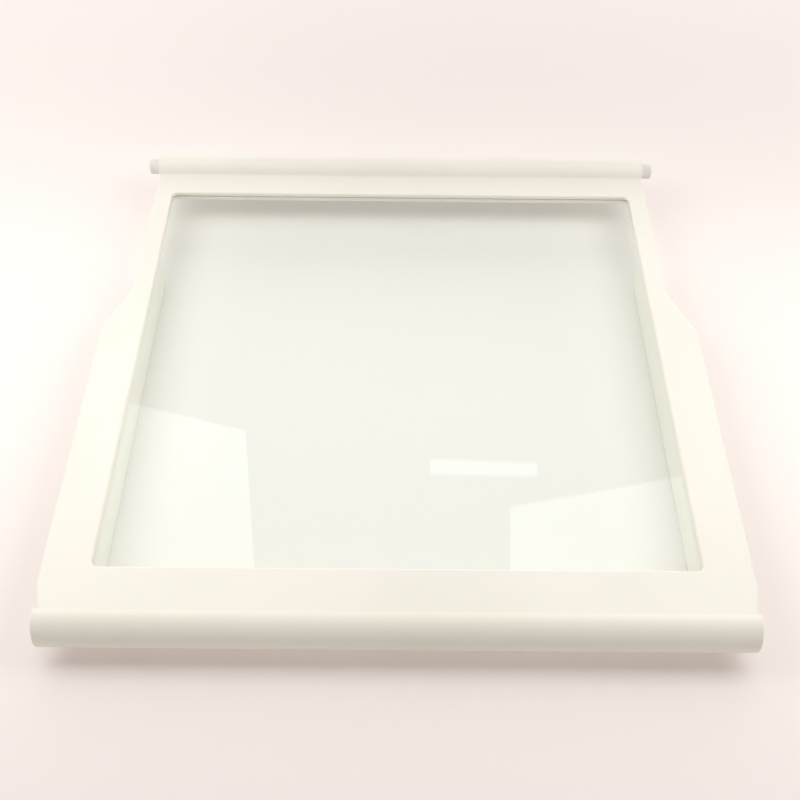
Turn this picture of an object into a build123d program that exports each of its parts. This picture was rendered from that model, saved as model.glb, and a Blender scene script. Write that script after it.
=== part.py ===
from build123d import *
import os

# Refrigerator shelf: a moulded frame around a glass panel, with a rounded front trim and two rear pins.
# Millimetres. X runs across the shelf, Y from front to rear, Z up from the surface it stands on.
# The origin is under the middle of the shelf's box.

# Window of clear glass inside the frame
opening_width = 367.0
opening_depth = 337.5
opening_corner_radius = 4.0

# Frame deck: flat border around the window, narrow beside the rear of the window
frame_height = 36.0
deck_thickness = 3.0
side_flange = 29.7
front_flange = 28.0
rear_flange = 21.5
front_taper_run = 15.0
front_taper_inset = 4.0
shoulder_start = 193.0
shoulder_run = 38.0
bend_radius = 18.0
deck_edge_radius = 1.6
opening_edge_radius = 1.0

# Rim turned down around the outside of the deck
rim_wall = 2.5
rim_height = 12.0
rear_rim = 2.2

# Glass panel and the channel moulded around its edge
glass_thickness = 4.0
glass_grip = 8.0
glass_edge_clearance = 0.3
glass_edge_chamfer = 0.4
channel_wall = 3.0
ledge_thickness = 3.0
ledge_setback = 1.0

# Side skirts below the window's long edges, and the gussets that brace them
skirt_wall = 2.5
skirt_start = 2.0
skirt_length = 270.0
skirt_front_edge = 3.0
skirt_rear_radius = 10.0
gusset_count = 4
gusset_thickness = 2.0
gusset_foot = 12.0
gusset_end_space = 16.0

# Raised round ridge along the rear edge, open below, with solid bosses for the pins
ridge_radius = 10.5
ridge_wall = 2.5
ridge_foot_radius = 3.0
boss_length = 18.0
ridge_rib_count = 5
ridge_rib_thickness = 2.0

# Grey pins in the ends of the ridge
pin_diameter = 12.0
pin_length = 9.2
pin_edge_radius = 2.2
shank_diameter = 7.0
shank_length = 15.0
shank_clearance = 0.05
shank_chamfer = 0.6

# Hollow front trim with a round nose and a flat underside, slotted on to a tongue of the frame
trim_radius = 15.6
trim_height = 19.5
trim_wall = 2.2
trim_overhang = 2.7
tongue_length = 7.0
tongue_thickness = 3.0
tongue_inset = 12.0
tongue_clearance = 0.2
slot_wall = 1.8

# End caps plugged into the trim
cap_thickness = 2.2
cap_edge_radius = 0.8
plug_length = 8.0
plug_clearance = 0.15

# Places that follow from the sizes above
overall_depth = trim_radius + front_flange + opening_depth + rear_flange + 2 * ridge_radius
trim_back_y = trim_radius - overall_depth / 2
opening_front_y = trim_back_y + front_flange
opening_rear_y = opening_front_y + opening_depth
opening_y = (opening_front_y + opening_rear_y) / 2
ridge_front_y = opening_rear_y + rear_flange
ridge_y = ridge_front_y + ridge_radius
frame_rear_y = ridge_y + ridge_radius
shoulder_front_y = opening_front_y + shoulder_start
shoulder_rear_y = shoulder_front_y + shoulder_run
skirt_front_y = opening_front_y + skirt_start
skirt_y = skirt_front_y + skirt_length / 2

opening_half = opening_width / 2
wide_half = opening_half + side_flange
front_half = wide_half - front_taper_inset
pocket_margin = glass_grip + glass_edge_clearance
channel_margin = pocket_margin + channel_wall
narrow_half = opening_half + channel_margin + rear_rim
ledge_half = opening_half + ledge_setback
skirt_x = ledge_half + skirt_wall / 2
skirt_outer_x = ledge_half + skirt_wall
cap_face_x = front_half + trim_overhang
trim_half = cap_face_x - cap_thickness

deck_z = frame_height
deck_under_z = deck_z - deck_thickness
glass_under_z = deck_under_z - glass_thickness
ledge_under_z = glass_under_z - ledge_thickness
rim_foot_z = deck_z - rim_height
trim_axis_z = deck_z - trim_radius
tongue_z = rim_foot_z + tongue_thickness / 2


def slab(face, low, high):
    """The plan outline as a plate between two heights."""
    return Pos(0, 0, low) * extrude(face, amount=high - low)


def across(face, half_length):
    """A section in the Y-Z plane, drawn out evenly to both sides."""
    return extrude(Plane.YZ * face, amount=half_length, both=True)


def window(margin):
    """The glass window's outline, grown by a margin on every side."""
    radius = opening_corner_radius + margin
    outline = RectangleRounded(opening_width + 2 * margin, opening_depth + 2 * margin, radius)
    return Pos(0, opening_y) * outline


def deck_outline():
    """Plan of the frame: tapered in at the trim, and stepping in through slanted shoulders to the rear."""
    right_side = [
        (front_half, trim_back_y),
        (wide_half, trim_back_y + front_taper_run),
        (wide_half, shoulder_front_y),
        (narrow_half, shoulder_rear_y),
        (narrow_half, frame_rear_y),
    ]
    left_side = [(-x, y) for x, y in reversed(right_side)]
    outline = make_face(Polyline(*right_side, *left_side, close=True))
    bends = outline.vertices().sort_by(Axis.Y)[2:-2]
    return fillet(bends, bend_radius)


def deck(outline):
    """Flat top of the frame with rounded top edges, left square where the trim meets it."""
    plate = slab(outline, deck_under_z, deck_z)
    outer_edges = plate.faces().sort_by(Axis.Z)[-1].edges().sort_by(Axis.Y)[1:]
    plate = fillet(outer_edges, deck_edge_radius)
    plate -= slab(window(0), deck_under_z, deck_z)
    window_edges = plate.faces().sort_by(Axis.Z)[-1].inner_wires()[0].edges()
    return fillet(window_edges, opening_edge_radius)


def rim(outline):
    """Wall turned down around the outside of the deck."""
    return slab(outline - offset(outline, -rim_wall), rim_foot_z, deck_under_z)


def ridge_section(radius):
    """Half-round top on straight sides, standing on the level of the rim's foot."""
    sides = Pos(ridge_y, (rim_foot_z + deck_z) / 2) * Rectangle(2 * radius, rim_height)
    return sides + Pos(ridge_y, deck_z) * Circle(radius)


def ridge_ribs():
    """Thin webs across the open underside of the ridge."""
    inner_half = narrow_half - boss_length
    section = Plane.YZ * ridge_section(ridge_radius - ridge_wall)
    rib = extrude(section, amount=ridge_rib_thickness / 2, both=True)
    spacing = 2 * inner_half / (ridge_rib_count + 1)
    return [Pos(spacing * (i + 1) - inner_half, 0, 0) * rib for i in range(ridge_rib_count)]


def skirt(side):
    """Wall below one long edge of the window, curved up at its front end and rounded at its rear."""
    wall = Pos(skirt_y, ledge_under_z / 2) * Rectangle(skirt_length, ledge_under_z)
    front_radius = ledge_under_z - skirt_front_edge
    for end, radius in ((0, front_radius), (-1, skirt_rear_radius)):
        lower_corner = wall.vertices().group_by(Axis.Y)[0].sort_by(Axis.X)[end]
        wall = fillet(lower_corner, radius)
    return Pos(side * skirt_x, 0, 0) * across(wall, skirt_wall / 2)


def gussets(side):
    """Slanted webs under the wide flange, from the rim to the skirt."""
    rim_inner_x = wide_half - rim_wall
    web = make_face(Polyline(
        (side * skirt_outer_x, deck_under_z),
        (side * rim_inner_x, deck_under_z),
        (side * rim_inner_x, rim_foot_z),
        (side * skirt_outer_x, gusset_foot),
        close=True,
    ))
    web = extrude(Plane.XZ * web, amount=gusset_thickness / 2, both=True)
    first = skirt_front_y + gusset_end_space
    last = shoulder_front_y - gusset_end_space
    pitch = (last - first) / (gusset_count - 1)
    return [Pos(0, first + pitch * i, 0) * web for i in range(gusset_count)]


def tongue():
    """Flat tongue along the front of the rim, which carries the trim."""
    plate = Pos(0, trim_back_y - tongue_length / 2, tongue_z)
    return plate * Box(2 * (front_half - tongue_inset), tongue_length, tongue_thickness)


def shelf_frame():
    """One moulding: deck, rim, glass channel, skirts, gussets, rear ridge and front tongue."""
    outline = deck_outline()
    body = deck(outline) + rim(outline)
    body += slab(window(channel_margin) - window(ledge_setback), ledge_under_z, deck_under_z)
    body += across(ridge_section(ridge_radius), narrow_half)
    ridge_foot = Vector(0, ridge_front_y, deck_z)
    body = fillet(body.edges().filter_by(Axis.X).sort_by_distance(ridge_foot)[0], ridge_foot_radius)
    for side in (-1, 1):
        body += skirt(side)
        body += gussets(side)
    body -= across(ridge_section(ridge_radius - ridge_wall), narrow_half - boss_length)
    body += ridge_ribs()
    body += tongue()
    body -= slab(window(pocket_margin), glass_under_z, deck_under_z)
    bore = Plane.YZ * (Pos(ridge_y, deck_z) * Circle(shank_diameter / 2 + shank_clearance))
    for side in (-1, 1):
        body -= Pos(side * narrow_half, 0, 0) * extrude(bore, amount=-side * boss_length)
    return body


def glass_panel():
    """Toughened glass pane with arrised edges, held in the frame's channel."""
    pane = slab(window(glass_grip), glass_under_z, deck_under_z)
    broad_faces = pane.faces().filter_by(Axis.Z)
    return chamfer(broad_faces.edges(), glass_edge_chamfer)


def nose_section():
    """Outline of the front trim: round in front, flat below and at the back."""
    block = Pos(-trim_radius / 2, trim_radius - trim_height / 2) * Rectangle(trim_radius, trim_height)
    return Pos(trim_back_y, trim_axis_z) * (Circle(trim_radius) & block)


def slot_section(wall):
    """The tongue's slot, with a wall around it where one is asked for."""
    depth = tongue_length + tongue_clearance + wall
    height = tongue_thickness + 2 * (tongue_clearance + wall)
    return Pos(trim_back_y - depth / 2, tongue_z) * Rectangle(depth, height)


def trim_hollow():
    """Section of the space inside the trim, around the slot."""
    return offset(nose_section(), -trim_wall) - slot_section(slot_wall)


def front_trim():
    """Hollow round-nosed profile along the front edge."""
    return across(nose_section() - trim_hollow() - slot_section(0), trim_half)


def trim_end_cap(side):
    """Thin cap on one end of the trim, with a plug that fills the hollow."""
    plate = Plane.YZ * nose_section()
    cap = Pos(side * trim_half, 0, 0) * extrude(plate, amount=side * cap_thickness)
    outer_face = cap.faces().sort_by(Axis.X)[-1 if side > 0 else 0]
    cap = fillet(outer_face.edges(), cap_edge_radius)
    plug = Plane.YZ * offset(trim_hollow(), -plug_clearance)
    return cap + Pos(side * trim_half, 0, 0) * extrude(plug, amount=-side * plug_length)


def rear_pin(side):
    """Round pin with a softened tip and a shank pressed into the ridge's boss."""
    head = extrude(Circle(pin_diameter / 2), amount=pin_length)
    head = fillet(head.edges().sort_by(Axis.Z)[-1], pin_edge_radius)
    shank = extrude(Circle(shank_diameter / 2), amount=-shank_length)
    shank = chamfer(shank.edges().sort_by(Axis.Z)[0], shank_chamfer)
    return Pos(side * narrow_half, ridge_y, deck_z) * Rot(0, side * 90, 0) * (head + shank)


nodes = {
    "shelf_frame": shelf_frame(),
    "glass_panel": glass_panel(),
    "front_trim": front_trim(),
}
for side, name in ((-1, "left"), (1, "right")):
    nodes[f"trim_end_cap_{name}"] = trim_end_cap(side)
    nodes[f"rear_pin_{name}"] = rear_pin(side)

os.makedirs("parts", exist_ok=True)
for name, solid in nodes.items():
    export_step(solid, f"parts/{name}.step")
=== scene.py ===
import math

import bpy
from mathutils import Matrix, Vector

# A refrigerator shelf: off-white moulded frame, clear glass, round-nosed front trim and grey rear pins.
# Metres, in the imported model's frame: X to the right, Y to the rear, Z up from the floor.

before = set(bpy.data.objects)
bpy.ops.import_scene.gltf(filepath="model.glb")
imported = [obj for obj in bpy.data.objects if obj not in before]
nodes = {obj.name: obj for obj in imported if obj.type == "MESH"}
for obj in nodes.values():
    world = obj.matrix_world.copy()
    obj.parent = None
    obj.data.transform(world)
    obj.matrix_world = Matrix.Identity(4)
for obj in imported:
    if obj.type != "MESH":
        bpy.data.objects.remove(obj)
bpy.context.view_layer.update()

# Camera, fitted to the edges of the frame and the window in the photograph
camera_place = Vector((-0.0016, -0.4568, 0.5680))
camera_yaw = math.radians(0.31)
camera_pitch = math.radians(51.96)
camera_roll = math.radians(-0.76)
camera_lens_mm = 45.0
camera_sensor_mm = 36.0
camera_near = 0.01

# Colours, as linear red, green and blue
black = (0.0, 0.0, 0.0)
frame_colour = (0.872, 0.838, 0.764)
frame_tone = (0.850, 0.820, 0.742)
trim_colour = (0.955, 0.915, 0.825)
trim_tone = (0.935, 0.895, 0.800)
glass_colour = (0.865, 0.950, 0.920)
pin_colour = (0.810, 0.785, 0.755)
pin_tone = (0.750, 0.725, 0.695)
floor_colour = (0.960, 0.890, 0.860)
studio_colour = (0.950, 0.890, 0.865)
daylight_colour = (1.000, 0.985, 0.965)

# Noise patterns, each with its cells to the metre and its levels of finer detail
plastic_drift = (9.0, 3.0)
plastic_gloss = (60.0, 4.0)
plastic_ripple = (22.0, 1.0)
plastic_grain = (2200.0, 2.0)
glass_wipes = (30.0, 6.0)
glass_wave = (7.0, 0.0)
pin_drift = (160.0, 3.0)
pin_gloss = (400.0, 2.0)
pin_grain = (2600.0, 2.0)

# Scale of a pattern along each axis, where less than one draws it out
even_scale = (1.0, 1.0, 1.0)
trim_scale = (0.15, 1.0, 1.0)
wipes_scale = (1.0, 0.35, 1.0)
wave_scale = (0.4, 1.0, 1.0)

# Values of a noise that are spread out: those in its middle, or the upper ones alone
noise_middle = (0.35, 0.65)
noise_upper = (0.5, 0.75)

# Roughness of each surface, from its smoothest places to its roughest
frame_roughness = (0.30, 0.40)
trim_roughness = (0.28, 0.38)
glass_roughness = (0.0, 0.035)
pin_roughness = (0.5, 0.65)

# Depth of each surface's unevenness
plastic_ripple_depth = 0.00012
plastic_grain_depth = 0.000012
glass_wave_depth = 0.00002
pin_grain_depth = 0.00002

# Refraction of each clear or glossy material
plastic_ior = 1.47
glass_ior = 1.5

# Sky with a glow from either side and from the rear.
# A glow's range holds the cosines of the angles from its middle at which it starts and is full.
sky_level = 0.28
side_glow_level = 1.92
side_glow_range = (0.75, 0.98)
rear_glow_level = 1.40
rear_glow_range = (0.40, 0.90)
sky_glows = [
    ((-1.0, 0.0, 0.0), side_glow_level, side_glow_range),
    ((1.0, 0.0, 0.0), side_glow_level, side_glow_range),
    ((0.0, 1.0, 0.0), rear_glow_level, rear_glow_range),
]

# Softboxes above the left and right of the shelf, and the power that lights a square metre to level one
light_height = 0.50
softbox_level = 2.30
softbox_width = 0.60
softbox_depth = 0.25
softbox_x = 0.42
softbox_y = -0.045
watts_per_level = 4.0

# Panels for the glass to mirror, with their corners seen from above
panel_level = 1.90
panel_outer_x = 0.58
panel_front_y = 0.080
panel_corners = {
    "panel_left": [
        (-panel_outer_x, 0.385),
        (-0.189, 0.278),
        (-0.159, panel_front_y),
        (-panel_outer_x, panel_front_y),
    ],
    "panel_right": [
        (0.133, 0.170),
        (panel_outer_x, 0.267),
        (panel_outer_x, panel_front_y),
        (0.128, panel_front_y),
    ],
    "panel_strip": [
        (0.040, 0.238),
        (0.170, 0.233),
        (0.168, 0.214),
        (0.039, 0.215),
    ],
}

# Floor, which glows a little outside a stretched circle, so that it stays pale far from the lamps
floor_half = 12.0
floor_gap = 0.0002
floor_glow = 0.34
floor_glow_y = -0.05
floor_glow_range = (0.30, 0.80)
floor_stretch = 1.8


def opaque(colour):
    """A colour in the form that a socket takes."""
    return (*colour, 1.0)


def new_material(name):
    """A node material with its tree and its shader."""
    material = bpy.data.materials.new(name)
    material.use_nodes = True
    tree = material.node_tree
    return material, tree, tree.nodes["Principled BSDF"]


def add_node(tree, kind, **settings):
    """A node with some of its settings changed."""
    node = tree.nodes.new(kind)
    for name, value in settings.items():
        setattr(node, name, value)
    return node


def noise(tree, pattern, scale=even_scale):
    """Noise over the object's own space."""
    cells, detail = pattern
    space = add_node(tree, "ShaderNodeTexCoord")
    mapping = add_node(tree, "ShaderNodeMapping")
    mapping.inputs["Scale"].default_value = scale
    texture = add_node(tree, "ShaderNodeTexNoise")
    texture.inputs["Scale"].default_value = cells
    texture.inputs["Detail"].default_value = detail
    tree.links.new(space.outputs["Object"], mapping.inputs["Vector"])
    tree.links.new(mapping.outputs["Vector"], texture.inputs["Vector"])
    return texture.outputs["Fac"]


def spread(tree, value, taken, given):
    """A value that is eased from the range taken to the range given."""
    node = add_node(tree, "ShaderNodeMapRange", interpolation_type="SMOOTHSTEP")
    node.inputs["From Min"].default_value = taken[0]
    node.inputs["From Max"].default_value = taken[1]
    node.inputs["To Min"].default_value = given[0]
    node.inputs["To Max"].default_value = given[1]
    tree.links.new(value, node.inputs["Value"])
    return node.outputs["Result"]


def two_tones(tree, pattern, first, second):
    """A colour that drifts between two tones."""
    node = add_node(tree, "ShaderNodeMix", data_type="RGBA")
    node.inputs["A"].default_value = opaque(first)
    node.inputs["B"].default_value = opaque(second)
    drift = spread(tree, noise(tree, pattern), noise_middle, (0.0, 1.0))
    tree.links.new(drift, node.inputs["Factor"])
    return node.outputs["Result"]


def bump(tree, height, depth, normal=None):
    """A surface made uneven to a depth, over another unevenness where one is given."""
    node = add_node(tree, "ShaderNodeBump")
    node.inputs["Strength"].default_value = 1.0
    node.inputs["Distance"].default_value = depth
    tree.links.new(height, node.inputs["Height"])
    if normal is not None:
        tree.links.new(normal, node.inputs["Normal"])
    return node.outputs["Normal"]


def moulded_plastic(name, colour, tone, roughness, scale):
    """Satin moulding: two close tones, uneven gloss, a slow ripple and a fine grain."""
    material, tree, shader = new_material(name)
    tree.links.new(two_tones(tree, plastic_drift, colour, tone), shader.inputs["Base Color"])
    gloss = spread(tree, noise(tree, plastic_gloss, scale), noise_middle, roughness)
    tree.links.new(gloss, shader.inputs["Roughness"])
    ripple = bump(tree, noise(tree, plastic_ripple, scale), plastic_ripple_depth)
    grain = bump(tree, noise(tree, plastic_grain, scale), plastic_grain_depth, ripple)
    tree.links.new(grain, shader.inputs["Normal"])
    shader.inputs["IOR"].default_value = plastic_ior
    return material


def toughened_glass(name):
    """Clear glass with a faint green tint, a slight roller wave and faint wipe marks."""
    material, tree, shader = new_material(name)
    shader.inputs["Base Color"].default_value = opaque(glass_colour)
    shader.inputs["Transmission Weight"].default_value = 1.0
    shader.inputs["IOR"].default_value = glass_ior
    wipes = spread(tree, noise(tree, glass_wipes, wipes_scale), noise_upper, glass_roughness)
    tree.links.new(wipes, shader.inputs["Roughness"])
    wave = bump(tree, noise(tree, glass_wave, wave_scale), glass_wave_depth)
    tree.links.new(wave, shader.inputs["Normal"])
    return material


def matt_plastic(name):
    """Grey matt plastic with a fine grain."""
    material, tree, shader = new_material(name)
    tree.links.new(two_tones(tree, pin_drift, pin_colour, pin_tone), shader.inputs["Base Color"])
    gloss = spread(tree, noise(tree, pin_gloss), noise_middle, pin_roughness)
    tree.links.new(gloss, shader.inputs["Roughness"])
    grain = bump(tree, noise(tree, pin_grain), pin_grain_depth)
    tree.links.new(grain, shader.inputs["Normal"])
    return material


def seen_rays(tree):
    """One for rays from the camera, straight or by way of a mirroring or clear surface, else nought."""
    path = add_node(tree, "ShaderNodeLightPath")
    seen = path.outputs["Is Camera Ray"]
    for kind in ("Is Glossy Ray", "Is Transmission Ray"):
        either = add_node(tree, "ShaderNodeMath", operation="MAXIMUM")
        tree.links.new(seen, either.inputs[0])
        tree.links.new(path.outputs[kind], either.inputs[1])
        seen = either.outputs["Value"]
    return seen


def plain_floor(name):
    """Pale even floor without gloss, which the camera sees a little brighter far from the lamps."""
    material, tree, shader = new_material(name)
    shader.inputs["Base Color"].default_value = opaque(floor_colour)
    shader.inputs["Roughness"].default_value = 1.0
    shader.inputs["Specular IOR Level"].default_value = 0.0
    shader.inputs["Emission Color"].default_value = opaque(floor_colour)
    space = add_node(tree, "ShaderNodeTexCoord")
    distance = add_node(tree, "ShaderNodeVectorMath", operation="LENGTH")
    tree.links.new(space.outputs["Object"], distance.inputs["Vector"])
    glow = spread(tree, distance.outputs["Value"], floor_glow_range, (0.0, floor_glow))
    seen = add_node(tree, "ShaderNodeMath", operation="MULTIPLY")
    tree.links.new(glow, seen.inputs[0])
    tree.links.new(seen_rays(tree), seen.inputs[1])
    tree.links.new(seen.outputs["Value"], shader.inputs["Emission Strength"])
    return material


def glowing_panel(name):
    """Even white light from a panel."""
    material, tree, shader = new_material(name)
    shader.inputs["Base Color"].default_value = opaque(black)
    shader.inputs["Emission Color"].default_value = opaque(daylight_colour)
    shader.inputs["Emission Strength"].default_value = panel_level
    return material


def flat_piece(name, corners, material):
    """A flat stage piece that isn't part of the object."""
    mesh = bpy.data.meshes.new(name)
    mesh.from_pydata(corners, [], [range(len(corners))])
    mesh.materials.append(material)
    piece = bpy.data.objects.new(name, mesh)
    bpy.context.scene.collection.objects.link(piece)
    return piece


def dress(names, material):
    """Gives a material to some of the model's pieces."""
    for name in names:
        nodes[name].material_slots[0].material = material


def make_floor():
    """A wide pale floor just below the shelf's feet."""
    reach = floor_half
    corners = [(-reach, -reach), (reach, -reach), (reach, reach), (-reach, reach)]
    floor = flat_piece("floor", [(x, y, -floor_gap) for x, y in corners], plain_floor("floor"))
    floor.location.y = floor_glow_y
    floor.scale.x = floor_stretch


def make_panels():
    """Bright panels overhead, which the glass mirrors and the camera doesn't see."""
    material = glowing_panel("bright_panel")
    for name, corners in panel_corners.items():
        panel = flat_piece(name, [(x, y, light_height) for x, y in corners], material)
        panel.visible_camera = False


def make_softboxes():
    """Soft light from above the shelf's left and right, which neither the camera nor the glass shows."""
    for name, side in (("softbox_left", -1), ("softbox_right", 1)):
        lamp = bpy.data.lights.new(name, "AREA")
        lamp.shape = "RECTANGLE"
        lamp.size = softbox_width
        lamp.size_y = softbox_depth
        lamp.color = daylight_colour
        lamp.energy = watts_per_level * softbox_level * softbox_width * softbox_depth
        light = bpy.data.objects.new(name, lamp)
        light.location = (side * softbox_x, softbox_y, light_height)
        light.visible_camera = False
        light.visible_glossy = False
        light.visible_transmission = False
        bpy.context.scene.collection.objects.link(light)


def make_sky():
    """Light from all round, stronger in the glows; the camera sees a plain pale studio instead."""
    world = bpy.data.worlds.new("studio")
    world.use_nodes = True
    tree = world.node_tree
    sky = tree.nodes["Background"]
    sky.inputs["Color"].default_value = opaque(daylight_colour)
    space = add_node(tree, "ShaderNodeTexCoord")
    total = None
    for direction, level, cosines in sky_glows:
        nearness = add_node(tree, "ShaderNodeVectorMath", operation="DOT_PRODUCT")
        tree.links.new(space.outputs["Generated"], nearness.inputs[0])
        nearness.inputs[1].default_value = direction
        glow = spread(tree, nearness.outputs["Value"], cosines, (0.0, level))
        both = add_node(tree, "ShaderNodeMath", operation="ADD")
        both.inputs[0].default_value = sky_level
        if total is not None:
            tree.links.new(total, both.inputs[0])
        tree.links.new(glow, both.inputs[1])
        total = both.outputs["Value"]
    tree.links.new(total, sky.inputs["Strength"])
    studio = add_node(tree, "ShaderNodeBackground")
    studio.inputs["Color"].default_value = opaque(studio_colour)
    mix = add_node(tree, "ShaderNodeMixShader")
    tree.links.new(seen_rays(tree), mix.inputs["Fac"])
    tree.links.new(sky.outputs["Background"], mix.inputs[1])
    tree.links.new(studio.outputs["Background"], mix.inputs[2])
    tree.links.new(mix.outputs["Shader"], tree.nodes["World Output"].inputs["Surface"])
    bpy.context.scene.world = world


def make_camera():
    """The photograph's viewpoint."""
    lens = bpy.data.cameras.new("camera")
    lens.lens = camera_lens_mm
    lens.sensor_width = camera_sensor_mm
    lens.clip_start = camera_near
    camera = bpy.data.objects.new("camera", lens)
    bpy.context.scene.collection.objects.link(camera)
    turn = Matrix.Rotation(-camera_yaw, 4, "Z")
    tilt = Matrix.Rotation(math.pi / 2 - camera_pitch, 4, "X")
    roll = Matrix.Rotation(-camera_roll, 4, "Z")
    camera.matrix_world = Matrix.Translation(camera_place) @ turn @ tilt @ roll
    bpy.context.scene.camera = camera


dress(["shelf_frame"],
      moulded_plastic("frame_moulding", frame_colour, frame_tone, frame_roughness, even_scale))
dress(["front_trim", "trim_end_cap_left", "trim_end_cap_right"],
      moulded_plastic("trim_profile", trim_colour, trim_tone, trim_roughness, trim_scale))
dress(["glass_panel"], toughened_glass("green_glass"))
dress(["rear_pin_left", "rear_pin_right"], matt_plastic("grey_pin"))

# Light goes straight through the clear glass to the floor
nodes["glass_panel"].visible_shadow = False
nodes["glass_panel"].visible_diffuse = False

make_floor()
make_panels()
make_softboxes()
make_sky()
make_camera()
bpy.context.scene.view_settings.view_transform = "Standard"
